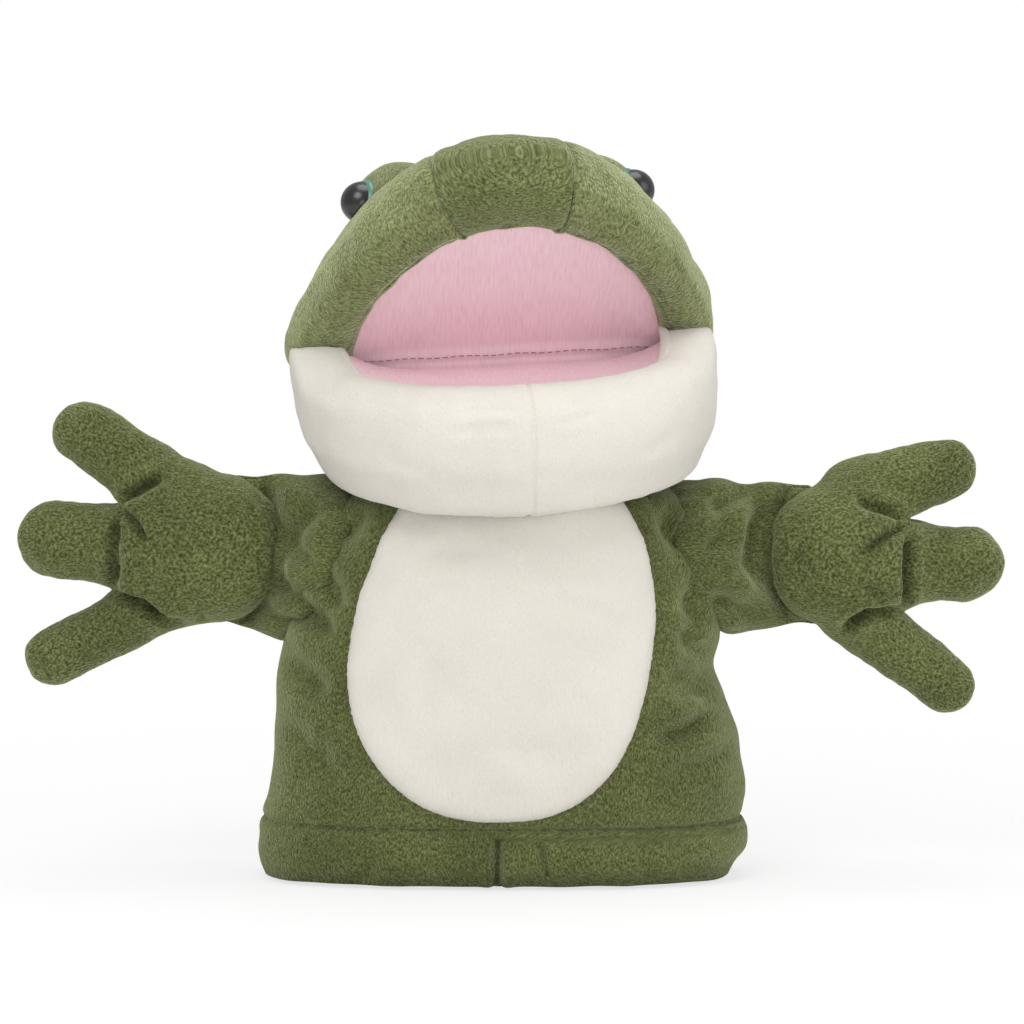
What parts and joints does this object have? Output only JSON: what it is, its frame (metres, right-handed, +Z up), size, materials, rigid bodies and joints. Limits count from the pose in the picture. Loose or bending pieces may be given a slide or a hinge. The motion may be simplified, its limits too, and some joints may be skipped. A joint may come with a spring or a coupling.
{
  "type": "frog hand puppet",
  "caption": "Plush frog glove puppet with a hinged, padded mouth, domed eyes on mounds, short stuffed arms and fingered hands, open at the hem for a hand.",
  "frame": {"origin": "middle of the hand opening, on the flat lower rim of the hem; the puppet stands upright on it", "axes": "+Z up, the puppet faces -Y, +X towards the puppet's own left hand (the viewer's right in the picture)"},
  "size_m": [0.3165, 0.1199, 0.235],
  "materials": {
    "green_plush": "matte",
    "cream_plush": "matte",
    "pink_tricot": "matte",
    "lining": "matte",
    "stuffing": "matte",
    "board": "matte",
    "teal_plastic": "gloss",
    "black_plastic": "gloss",
    "white_plastic": "satin"
  },
  "bodies": {
    "torso": {"body_front": "green_plush", "body_back": "green_plush", "belly_patch": "cream_plush", "hem_band": "green_plush"},
    "neck": {"neck_ring": "green_plush"},
    "head": {"crown_panel": "green_plush", "head_side_left": "green_plush", "head_side_right": "green_plush", "gusset_left": "green_plush", "gusset_right": "green_plush", "head_stuffing": "stuffing", "finger_pocket": "lining", "upper_palate": "pink_tricot", "upper_palate_board": "board", "mouth_fold": "pink_tricot", "eye_mound_left": "green_plush", "eye_mound_right": "green_plush", "eye_left": "teal_plastic", "eye_right": "teal_plastic", "pupil_left": "black_plastic", "pupil_right": "black_plastic", "eye_washer_left": "white_plastic", "eye_washer_right": "white_plastic"},
    "jaw": {"jaw_panel_left": "cream_plush", "jaw_panel_right": "cream_plush", "jaw_stuffing": "stuffing", "thumb_pocket": "lining", "lower_palate": "pink_tricot", "lower_palate_board": "board"},
    "arm_left": {"sleeve_left": "green_plush"},
    "hand_left": {"palm_left": "green_plush"},
    "finger_upper_left": {"finger_upper_left": "green_plush"},
    "finger_middle_left": {"finger_middle_left": "green_plush"},
    "finger_lower_left": {"finger_lower_left": "green_plush"},
    "arm_right": {"sleeve_right": "green_plush"},
    "hand_right": {"palm_right": "green_plush"},
    "finger_upper_right": {"finger_upper_right": "green_plush"},
    "finger_middle_right": {"finger_middle_right": "green_plush"},
    "finger_lower_right": {"finger_lower_right": "green_plush"}
  },
  "joints": [
    {"name": "neck_turn", "type": "hinge", "parent": "torso", "child": "neck", "pos_m": [0, 0, 0.1405], "axis": [0, 0, 1], "range_deg": [-20, 20]},
    {"name": "head_nod", "type": "hinge", "parent": "neck", "child": "head", "pos_m": [0, 0, 0.1405], "axis": [0.9945, 0.1045, 0], "range_deg": [-9, 6]},
    {"name": "jaw_close", "type": "hinge", "parent": "head", "child": "jaw", "pos_m": [-0.00168, 0.00385, 0.16647], "axis": [-0.9933, -0.1044, -0.0489], "range_deg": [0, 52]},
    {"name": "shoulder_left", "type": "hinge", "parent": "torso", "child": "arm_left", "pos_m": [0.067, 0, 0.102], "axis": [0, -1, 0], "range_deg": [-28, 40]},
    {"name": "wrist_left", "type": "hinge", "parent": "arm_left", "child": "hand_left", "pos_m": [0.095, 0, 0.103], "axis": [0, 0, -1], "range_deg": [-40, 40]},
    {"name": "finger_upper_left_curl", "type": "hinge", "parent": "hand_left", "child": "finger_upper_left", "pos_m": [0.1225, 0, 0.1245], "axis": [0.2924, 0, -0.9563], "range_deg": [-30, 45], "stiffness_Nm_per_rad": 0.0015},
    {"name": "finger_middle_left_curl", "type": "hinge", "parent": "hand_left", "child": "finger_middle_left", "pos_m": [0.1315, 0, 0.0986], "axis": [0.0349, 0, -0.9994], "range_deg": [-30, 45], "stiffness_Nm_per_rad": 0.0015},
    {"name": "finger_lower_left_curl", "type": "hinge", "parent": "hand_left", "child": "finger_lower_left", "pos_m": [0.1185, 0, 0.076], "axis": [-0.6157, 0, -0.788], "range_deg": [-30, 45], "stiffness_Nm_per_rad": 0.0015},
    {"name": "shoulder_right", "type": "hinge", "parent": "torso", "child": "arm_right", "pos_m": [-0.067, 0, 0.102], "axis": [0, 1, 0], "range_deg": [-28, 40]},
    {"name": "wrist_right", "type": "hinge", "parent": "arm_right", "child": "hand_right", "pos_m": [-0.0875, 0, 0.1045], "axis": [0, 0, 1], "range_deg": [-40, 40]},
    {"name": "finger_upper_right_curl", "type": "hinge", "parent": "hand_right", "child": "finger_upper_right", "pos_m": [-0.117, 0, 0.128], "axis": [0.5736, 0, 0.8191], "range_deg": [-30, 45], "stiffness_Nm_per_rad": 0.0015},
    {"name": "finger_middle_right_curl", "type": "hinge", "parent": "hand_right", "child": "finger_middle_right", "pos_m": [-0.125, 0, 0.1048], "axis": [0.0958, 0, 0.9954], "range_deg": [-30, 45], "stiffness_Nm_per_rad": 0.0015},
    {"name": "finger_lower_right_curl", "type": "hinge", "parent": "hand_right", "child": "finger_lower_right", "pos_m": [-0.1155, 0, 0.085], "axis": [-0.454, 0, 0.891], "range_deg": [-30, 45], "stiffness_Nm_per_rad": 0.0015}
  ]
}
